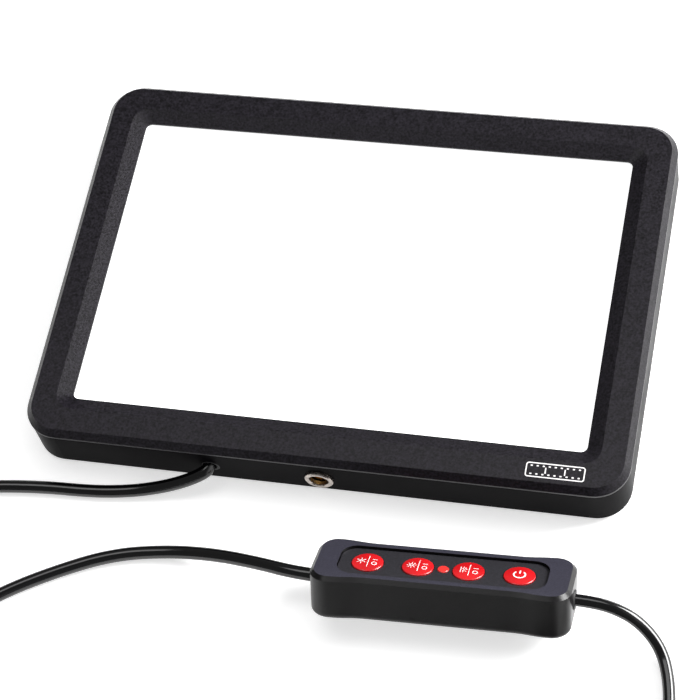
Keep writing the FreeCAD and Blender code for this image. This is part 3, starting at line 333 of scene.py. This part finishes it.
def satinAbs():
    # ABS from a stoned tool: smoother and blacker than the front, with a soft sheen low down
    finish = newFinish("satin moulded ABS", "#060507", 0.34, **{"IOR": 1.53, "Specular IOR Level": 0.012})
    mottled(finish, 18.0, gloss=(0.3, 0.4))
    return grained(finish, 0.5, 0.006)[0]


window = {
    "width": 165.0, "depth": 105.7,
    "fade": 5.0,                 # how far in from the frame the light is weaker
    "rimGlow": 0.72, "glow": 1.05,
}


def opalAcrylic():
    # cast opal acrylic lit from behind: an even white, slightly weaker at the rim where the
    # frame shades it
    finish = newFinish("cast opal acrylic", "#f4f4f2", 0.22, IOR=1.49)
    material, tree, shader, place = finish
    parts = add(tree, "ShaderNodeSeparateXYZ", {"Vector": place})
    inside = []
    for axis, reach in (("X", window["width"] / 2), ("Y", window["depth"] / 2)):
        away = add(tree, "ShaderNodeMath", {0: parts.outputs[axis]}, operation="ABSOLUTE").outputs[0]
        inside.append(add(tree, "ShaderNodeMath", {0: reach, 1: away}, operation="SUBTRACT").outputs[0])
    rim = add(tree, "ShaderNodeMath", {0: inside[0], 1: inside[1]}, operation="MINIMUM").outputs[0]
    glow = add(tree, "ShaderNodeMapRange", {"Value": rim, "From Min": 0.0, "From Max": window["fade"],
                                            "To Min": window["rimGlow"], "To Max": window["glow"]},
               interpolation_type="SMOOTHSTEP")
    patches = add(tree, "ShaderNodeTexNoise", {"Vector": place, "Scale": 1 / 60.0, "Detail": 1.0})
    even = add(tree, "ShaderNodeMapRange", {"Value": patches.outputs["Fac"], "To Min": 0.98, "To Max": 1.02})
    both = add(tree, "ShaderNodeMath", {0: glow.outputs["Result"], 1: even.outputs["Result"]},
               operation="MULTIPLY")
    shader.inputs["Emission Color"].default_value = toLinear("#fdfeff")
    tree.links.new(both.outputs[0], shader.inputs["Emission Strength"])
    return material


def simpleFinishes():
    # name of the record's slot: material, its colour, roughness, patch size and grain in millimetres
    finishes = {
        "film_white": mottled(newFinish("matt polyester film", "#eef0f2", 0.5, IOR=1.6), 3.0,
                              gloss=(0.45, 0.55)),
        "guide_acrylic": mottled(newFinish("clear cast acrylic", "#eef6f6", 0.08, IOR=1.49,
                                           **{"Transmission Weight": 0.9}), 5.0, gloss=(0.06, 0.1)),
        "reflector_white": mottled(newFinish("white PET foil", "#f3f3f3", 0.3, IOR=1.57), 4.0,
                                   gloss=(0.25, 0.35)),
        "tape_black": grained(newFinish("closed-cell foam", "#101011", 0.85), 0.5, 0.08, "cells"),
        "plate_aluminium": grained(newFinish("mill-finish aluminium", "#cfd1d3", 0.4, Metallic=1.0),
                                   0.6, 0.01, stretch=(0.03, 1, 1)),
        "board_white": mottled(newFinish("white solder mask", "#e9e9e4", 0.35), 1.5, gloss=(0.3, 0.45)),
        "board_green": mottled(newFinish("green solder mask", "#0d5330", 0.3), 2.0,
                               colours=("#0b4a2a", "#106239")),
        "phosphor_yellow": grained(newFinish("silicone phosphor", "#e9cf52", 0.35), 0.4, 0.02),
        "chip_black": grained(newFinish("epoxy moulding compound", "#17171a", 0.55), 0.4, 0.01),
        "screw_black": grained(newFinish("black zinc plate on steel", "#3a3a3e", 0.38, Metallic=1.0),
                               0.3, 0.006),
        "rubber_black": grained(newFinish("moulded silicone rubber", "#121213", 0.62), 0.4, 0.02),
        "wire_red": mottled(newFinish("extruded PVC insulation", "#a81812", 0.35), 1.0,
                            gloss=(0.3, 0.4)),
        "tongue_white": mottled(newFinish("glass-filled nylon", "#e6e6df", 0.45), 1.0,
                                colours=("#dcdcd4", "#ecece6")),
        "contact_gold": grained(newFinish("gold flash on bronze", "#e2b24e", 0.22, Metallic=1.0),
                                0.3, 0.003, stretch=(0.1, 1, 1)),
    }
    return {slot: finish[0] for slot, finish in finishes.items()}


def turnedBrass():
    # brass cut on a lathe: bright yellow metal with fine tool marks that run round the thread
    finish = newFinish("turned brass", "#c79a52", 0.3, Metallic=1.0)
    mottled(finish, 0.8, colours=("#b88a44", "#dcb46c"))
    return grained(finish, 0.25, 0.01, stretch=(0.2, 3.0, 0.2))[0]


def nickelPlate():
    # bright nickel on a turned collar: near-white metal, slightly warm, with soft reflections
    finish = newFinish("nickel plate", "#b9b0aa", 0.3, Metallic=1.0)
    mottled(finish, 1.2, colours=("#a79e98", "#c8c0b9"), gloss=(0.24, 0.36))
    return grained(finish, 0.3, 0.004)[0]


def controllerAbs():
    # ABS with a fine matt etch on top and plain polished black sides. The top faces are painted a lighter
    # bluish grey, partly the etch's bloom and partly painted light from above, and the sides are painted
    # darker as painted shade
    finish = newFinish("fine etched ABS with painted lit top", "#26252b", 0.42, **{"IOR": 1.53, "Specular IOR Level": 0.26})
    material, tree, shader, place = finish
    facing = add(tree, "ShaderNodeNewGeometry").outputs["True Normal"]
    top = controllerFrame().to_3x3() @ Vector((0, 0, 1))
    share = add(tree, "ShaderNodeVectorMath", {0: facing, 1: top}, operation="DOT_PRODUCT").outputs["Value"]
    onTop = add(tree, "ShaderNodeMapRange", {"Value": share, "From Min": 0.8, "From Max": 0.95}).outputs[0]
    speck = add(tree, "ShaderNodeTexNoise", {"Vector": place, "Scale": 1 / 0.5, "Detail": 2.0}).outputs["Fac"]
    # painted highlight together with the etch: the faces that look out of the button side get this lighter
    # grey
    etchedTopPaintedLit = add(tree, "ShaderNodeMix", {0: speck, 6: toLinear("#201f26"), 7: toLinear("#383743")},
                 data_type="RGBA").outputs[2]
    # painted light and shade by facing: the lit top lighter, the shaded sides near black
    tint = add(tree, "ShaderNodeMix", {0: onTop, 6: toLinear("#060506"), 7: etchedTopPaintedLit}, data_type="RGBA")
    tree.links.new(tint.outputs[2], shader.inputs["Base Color"])
    gloss = add(tree, "ShaderNodeMapRange", {"Value": onTop, "To Min": 0.3, "To Max": 0.5}).outputs[0]
    tree.links.new(gloss, shader.inputs["Roughness"])
    return grained(finish, 0.45, 0.02)[0]


def overlayFilm():
    # velvet polycarbonate film stuck in the recess: a touch darker and more even than the case
    finish = newFinish("velvet polycarbonate film", "#26252c", 0.5, IOR=1.58)
    mottled(finish, 0.5, colours=("#121115", "#232228"), detail=2.0)
    return grained(finish, 0.4, 0.012)[0]


def redCaps():
    # solid red polycarbonate caps, polished: a clean gloss over an even, saturated colour
    finish = newFinish("polished red polycarbonate", "#b81419", 0.3, IOR=1.58)
    mottled(finish, 6.0, colours=("#b21117", "#be161c"), gloss=(0.26, 0.34), detail=0.0)
    return grained(finish, 5.0, 0.01)[0]


def redLens():
    # tinted acrylic lamp lens over an unlit red LED: paler than the caps and given a faint painted glow, both
    # standing in for the light that enters it
    # painted glow: the lens of the unlit LED is made to emit a little red light
    finish = newFinish("red tinted acrylic", "#d2302c", 0.3, **{
        "IOR": 1.49, "Emission Color": toLinear("#ff3a30"), "Emission Strength": 0.05})
    return mottled(finish, 1.0, gloss=(0.26, 0.36))[0]


def pvcSheath():
    # extruded PVC: glossy black whose highlight runs in one crisp line with slight waves
    finish = newFinish("extruded PVC sheath", "#050506", 0.13, IOR=1.53)
    mottled(finish, 6.0, gloss=(0.1, 0.17))
    return grained(finish, 2.4, 0.02)[0]


def pvcGrip():
    # PVC overmoulded on the plug: softer gloss than the sheath, from an etched tool
    finish = newFinish("overmoulded PVC grip", "#111112", 0.45, IOR=1.53)
    mottled(finish, 0.5, gloss=(0.38, 0.52), detail=2.0)
    return grained(finish, 0.45, 0.015)[0]


def plugSteel():
    # bright nickel on rolled steel sheet: faint lines along the rolling direction
    finish = newFinish("nickel-plated steel sheet", "#c9cacb", 0.25, Metallic=1.0)
    mottled(finish, 2.0, gloss=(0.2, 0.3))
    return grained(finish, 0.35, 0.004, stretch=(0.06, 1, 1))[0]


def nylonLoops():
    # hook-and-loop tape: matt black nylon with a nap of tiny loops that catch a soft rim of light
    finish = newFinish("hook and loop nylon", "#141416", 0.9, **{"Sheen Weight": 0.5,
                                                                "Sheen Roughness": 0.4})
    mottled(finish, 0.7, colours=("#0e0e10", "#232328"), detail=2.0)
    return grained(finish, 0.7, 0.12, "cells")[0]


def screenInk():
    # two-part white screen ink: opaque, flat, with a very slight orange peel
    finish = newFinish("white screen ink", "#f1efee", 0.45)
    mottled(finish, 0.6, colours=("#e6e2e2", "#f6f5f4"))
    return grained(finish, 0.4, 0.006)[0]


def dress(slots):
    record = frame["record"]
    for part in record["subparts"]:
        mesh = nodes[part["node"]].data
        material = slots[part["material_slot"]]
        if not mesh.materials:
            mesh.materials.append(material)
        for index in range(len(mesh.materials)):
            mesh.materials[index] = material


prints = {
    "thick": 0.05,               # of the ink above the surface
    "sunk": 0.05,                # below it, so that the ink stays closed over a curved cap
    "step": 0.45,                # longest piece of a stroke
    "strip": {"middle": (74.2, -61.4), "height": 20.0, "size": (17.8, 4.6), "round": 0.7, "line": 0.36,
              "frameHalf": 1.0, "holes": 9, "hole": (0.62, 0.42), "inset": 0.62, "holeInset": 0.9},
    "capLine": {"at": 0.25, "half": 2.9, "wide": 0.2},
    "capMark": {"at": 1.9, "wide": 0.22},
    "on": {"up": 1.1, "half": 0.75},
    "off": {"down": 0.95, "radius": 0.72},
    "crystal": {"rays": 6, "from": 0.22, "to": 1.5, "first": 30.0},
    "noon": {"disc": 0.55, "rays": 8, "from": 0.95, "to": 1.5},
    "horizon": {"disc": 0.6, "rays": 5, "from": 1.0, "to": 1.55, "first": -72.0,
                "ground": 1.5, "down": 0.45},
    "power": {"radius": 1.75, "gap": 40, "wide": 0.42, "bar": (0.5, 2.2)},
}


def arc(middle, radius, start, end, count=24):  # points from one angle to another, in degrees
    turns = [math.radians(start + (end - start) * i / count) for i in range(count + 1)]
    return [(middle[0] + radius * math.cos(a), middle[1] + radius * math.sin(a)) for a in turns]


def shortened(line, closed):  # the same line with no piece longer than a step
    spots = []
    ends = line[1:] + line[:1] if closed else line[1:]
    for here, there in zip(line, ends):
        here, there = Vector(here), Vector(there)
        pieces = max(1, math.ceil((there - here).length / prints["step"]))
        spots += [here.lerp(there, i / pieces) for i in range(pieces)]
    return spots if closed else spots + [Vector(line[-1])]


def square(spots, index, closed):  # across the line, longer at a corner so that the width holds
    count = len(spots)
    ways = []
    if closed or index > 0:
        ways.append((spots[index] - spots[index - 1]).normalized())
    if closed or index < count - 1:
        ways.append((spots[(index + 1) % count] - spots[index]).normalized())
    along = sum(ways, Vector((0.0, 0.0))).normalized()
    return Vector((-along.y, along.x)) / max(0.5, along.dot(ways[0]))


def printed(name, strokes, node, body, toPart):
    # strokes are (points, width, closed) in a flat frame, in millimetres, laid down on the node
    target = nodes[node].data
    surface = BVHTree.FromPolygons([corner.co.copy() for corner in target.vertices],
                                   [list(face.vertices) for face in target.polygons])
    up = (toPart.to_3x3() @ Vector((0, 0, 1))).normalized()
    form = bmesh.new()

    def layers(spot):  # the ink's upper and lower corner at a point
        above = metres(toPart @ Vector((spot.x, spot.y, 6.0)))
        hit = surface.ray_cast(above, -up)[0]
        return (form.verts.new(hit + up * prints["thick"] * mm),
                form.verts.new(hit - up * prints["sunk"] * mm))

    for line, wide, closed in strokes:
        spots = shortened(line, closed)
        rows = []
        for index, spot in enumerate(spots):
            across = square(spots, index, closed) * wide / 2
            rows.append((*layers(spot + across), *layers(spot - across)))
        for a, b in zip(rows, rows[1:] + (rows[:1] if closed else [])):
            for i, j in ((0, 2), (3, 1), (1, 0), (2, 3)):  # top, underside and both edges
                form.faces.new((a[i], a[j], b[j], b[i]))
        if not closed:
            form.faces.new((rows[0][0], rows[0][1], rows[0][3], rows[0][2]))
            form.faces.new((rows[-1][0], rows[-1][2], rows[-1][3], rows[-1][1]))
    bmesh.ops.recalc_face_normals(form, faces=form.faces)
    return finishMesh(name, form, ink, body)


def finishMesh(name, form, material, body, smooth=False):
    mesh = bpy.data.meshes.new(name)
    form.to_mesh(mesh)
    form.free()
    mesh.materials.append(material)
    for face in mesh.polygons:
        face.use_smooth = smooth
    piece = bpy.data.objects.new(name, mesh)
    bpy.context.scene.collection.objects.link(piece)
    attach(piece, body)
    return piece


def filmStrip():  # a plain strip of film, drawn in lines, marks the near right of the frame
    facts = prints["strip"]
    (x, y), (wide, tall), bend = facts["middle"], facts["size"], facts["round"]
    right, top = wide / 2 - bend, tall / 2 - bend
    outline = []
    for cx, cy, turn in ((right, top, 0), (-right, top, 90), (-right, -top, 180), (right, -top, 270)):
        outline += arc((x + cx, y + cy), bend, turn, turn + 90, 4)
    strokes = [(outline, facts["line"], True)]
    for third in (-1, 1):
        middle = x + third * wide / 6
        ends = [(middle, y - facts["frameHalf"]), (middle, y + facts["frameHalf"])]
        strokes.append((ends, facts["line"], False))
    pitch = (wide - 2 * facts["inset"]) / facts["holes"]
    for index in range(facts["holes"]):
        left = x - wide / 2 + facts["inset"] + (index + 0.5) * pitch - facts["hole"][0] / 2
        for side in (-1, 1):
            low = y + side * (tall / 2 - facts["holeInset"])
            strokes.append(([(left, low), (left + facts["hole"][0], low)], facts["hole"][1], False))
    return strokes


def onOffMark(at):  # the standard pair: a bar for on, a ring for off
    wide, on, off = prints["capMark"]["wide"], prints["on"], prints["off"]
    return [([(at - on["half"], on["up"]), (at + on["half"], on["up"])], wide, False),
            (arc((at, -off["down"]), off["radius"], 0, 345, 23), wide, True)]


def rays(at, facts, sweep=360.0):
    strokes = []
    for index in range(facts["rays"]):
        angle = math.radians(facts.get("first", 0.0) + sweep * index / facts["rays"])
        way = Vector((math.cos(angle), math.sin(angle)))
        ends = [tuple(Vector((at, 0.0)) + way * reach) for reach in (facts["from"], facts["to"])]
        strokes.append((ends, prints["capMark"]["wide"], False))
    return strokes


def capMarks(kind):  # a snow crystal, the sun at noon, the sun at the horizon, or the power symbol
    at = -prints["capMark"]["at"]
    wide = prints["capMark"]["wide"]
    if kind == "power":
        facts = prints["power"]
        ring = arc((0, 0), facts["radius"], 90 + facts["gap"], 450 - facts["gap"], 30)
        low, high = facts["bar"]
        return [(ring, facts["wide"], False), ([(0, low), (0, high)], facts["wide"], False)]
    line = prints["capLine"]
    strokes = [([(line["at"], -line["half"]), (line["at"], line["half"])], line["wide"], False)]
    strokes += onOffMark(prints["capMark"]["at"] + line["at"])
    if kind == "cool":
        strokes += rays(at, prints["crystal"])
    if kind == "white":
        strokes.append((arc((at, 0), prints["noon"]["disc"], 0, 340, 17), wide, True))
        strokes += rays(at, prints["noon"])
    if kind == "warm":
        facts = prints["horizon"]
        strokes.append((arc((at, 0), facts["disc"], -90, 90, 10), wide, False))
        strokes += rays(at, facts, sweep=180.0)
        below = at - facts["down"]
        strokes.append(([(below, -facts["ground"]), (below, facts["ground"])], wide, False))
    return strokes


thread = {
    "minor": 2.6, "major": 3.1, "pitch": 1.27,
    "body": 4.0,                 # outside radius of the bush
    "from": -65.95, "to": -59.2, "height": 8.6,
    "around": 48, "perPitch": 8,
}


def threadedBush(material):  # the tripod socket's bush with its 1/4-20 thread cut in it
    form = bmesh.new()
    count = thread["around"]
    deep = thread["to"] - thread["from"]
    steps = round(deep / thread["pitch"] * thread["perPitch"])
    rings = []

    def ring(radiusAt, y):
        corners = []
        for index in range(count):
            turn = 2 * math.pi * index / count
            radius = radiusAt(index / count)
            corners.append(form.verts.new(metres((radius * math.cos(turn), y,
                                                  thread["height"] + radius * math.sin(turn)))))
        return corners

    for step in range(steps + 1):
        y = thread["from"] + deep * step / steps
        fade = min(1.0, step / 4, (steps - step) / 4)  # the thread runs out at both ends

        def cutAt(share, y=y, fade=fade):
            wave = (y / thread["pitch"] + share) % 1.0
            depth = 1 - abs(2 * wave - 1)
            return thread["minor"] + (thread["major"] - thread["minor"]) * depth * fade

        rings.append(ring(cutAt, y))
    rings.append(ring(lambda share: thread["body"], thread["to"]))
    rings.append(ring(lambda share: thread["body"], thread["from"]))
    for lower, upper in zip(rings, rings[1:] + rings[:1]):
        for index in range(count):
            other = (index + 1) % count
            form.faces.new((lower[index], lower[other], upper[other], upper[index]))
    bmesh.ops.recalc_face_normals(form, faces=form.faces)
    bush = finishMesh("threaded_bush", form, material, root)
    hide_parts("tripod_insert")


tie = {
    "angle": 150.0,              # round the coil, in degrees
    "wide": 9.0, "thick": 0.7, "clear": 0.05, "bend": 2.4,
    "overlap": 9.0,              # of the free end on the strap below it
    "rise": 3.0,                 # length over which it climbs on to that strap
    "tip": 2.2,                  # length of the rounded end
    "step": 0.8,
}


def cordTie(material):  # a hook-and-loop strap round the coil, its free end pressed down on itself
    across = usbLead["diameter"] * 3 / 2 + tie["clear"] + tie["thick"] / 2
    middle = usbLead["coilLift"] + usbLead["diameter"] * 1.5
    bend = tie["bend"]
    corners = []
    straight = across - bend
    for cx, cy, turn in ((straight, straight, 0), (-straight, straight, 90),
                         (-straight, -straight, 180), (straight, -straight, 270)):
        corners += [Vector(spot) for spot in arc((cx, cy), bend, turn, turn + 90, 6)]
    loop = corners + corners[:1]
    lengths = [0.0]
    for a, b in zip(loop, loop[1:]):
        lengths.append(lengths[-1] + (b - a).length)

    def along(distance):
        distance %= lengths[-1]
        for index in range(len(loop) - 1):
            if lengths[index + 1] >= distance:
                span = lengths[index + 1] - lengths[index]
                return loop[index].lerp(loop[index + 1], (distance - lengths[index]) / span)
        return loop[-1]

    total = lengths[-1] + tie["overlap"]
    count = round(total / tie["step"])
    angle = math.radians(tie["angle"])
    out = Vector((math.cos(angle), math.sin(angle), 0))
    side = Vector((-math.sin(angle), math.cos(angle), 0))
    x, y = usbLead["coilCentre"]
    centre = Vector((x, y, middle)) + out * usbLead["coilRadius"]
    first = straight + bend * math.pi / 2 + straight  # starts in the middle of the top
    form = bmesh.new()
    rows = []
    for index in range(count + 1):
        distance = total * index / count
        here, ahead = along(first + distance), along(first + distance + 0.05)
        way = (ahead - here).normalized()
        normal = Vector((way.y, -way.x))
        lapped = min(max((distance - lengths[-1]) / tie["rise"] + 1, 0.0), 1.0)
        rise = lapped * tie["thick"] * 1.05
        left = total - distance  # the free end is rounded
        half = tie["wide"] / 2
        if left < tie["tip"]:
            half -= tie["tip"] * (1 - math.sqrt(max(0.0, 1 - (1 - left / tie["tip"]) ** 2)))
        row = []
        for offset in (rise - tie["thick"] / 2, rise + tie["thick"] / 2):
            spot = here + normal * offset
            for sign in (-1, 1):
                row.append(form.verts.new(metres(centre + out * spot.x + Vector((0, 0, spot.y))
                                                 + side * sign * half)))
        rows.append(row)
    for a, b in zip(rows, rows[1:]):
        for i, j in ((0, 1), (1, 3), (3, 2), (2, 0)):
            form.faces.new((a[i], a[j], b[j], b[i]))
    form.faces.new((rows[0][0], rows[0][2], rows[0][3], rows[0][1]))
    form.faces.new((rows[-1][0], rows[-1][1], rows[-1][3], rows[-1][2]))
    bmesh.ops.recalc_face_normals(form, faces=form.faces)
    strap = finishMesh("cord_strap", form, material, root, smooth=True)
    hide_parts("coil_tie")
    return strap


makeCamera()
makeLight()
makeFloor()
print("camera, light and floor are in place")

slots = simpleFinishes()
slots.update({
    "bezel_black": sparkEtchedAbs(), "shell_black": satinAbs(), "opal_white": opalAcrylic(),
    "insert_brass": turnedBrass(), "collar_nickel": nickelPlate(), "controller_black": controllerAbs(),
    "label_black": overlayFilm(), "button_red": redCaps(), "lens_red": redLens(),
    "cord_black": pvcSheath(), "plug_black": pvcGrip(), "plug_steel": plugSteel(),
    "tie_black": nylonLoops(),
})
ink = screenInk()
dress(slots)
print("finishes:", len(slots))

panelCord = makeCord("panel_cord", panelLead["route"], panelLead["diameter"], slots["cord_black"])
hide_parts("panel_lead")
usbRoute = usbLead["lead"] + coilTurns() + usbLead["tail"]
usbCord = makeCord("usb_cord", usbRoute, usbLead["diameter"], slots["cord_black"])
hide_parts("usb_lead", "usb_coil", "usb_tail")
print("cords:", round(routeLength(panelCord), 4), round(routeLength(usbCord), 4))

flat = Matrix.Translation(Vector((0, 0, prints["strip"]["height"])))
printed("film_strip_mark", filmStrip(), "front_bezel", root, flat)
for index, kind in enumerate(("cool", "white", "warm", "power")):
    cap = controllerFrame() @ Matrix.Translation(Vector((controller["pitch"] * (index - 1.5), 0, 0)))
    printed("mark_" + kind, capMarks(kind), "button_" + kind, kind + "_button", cap)
threadedBush(slots["insert_brass"])
strap = cordTie(slots["tie_black"])
print("printed marks, socket thread and cord tie are made")

routeLength(usbCord)
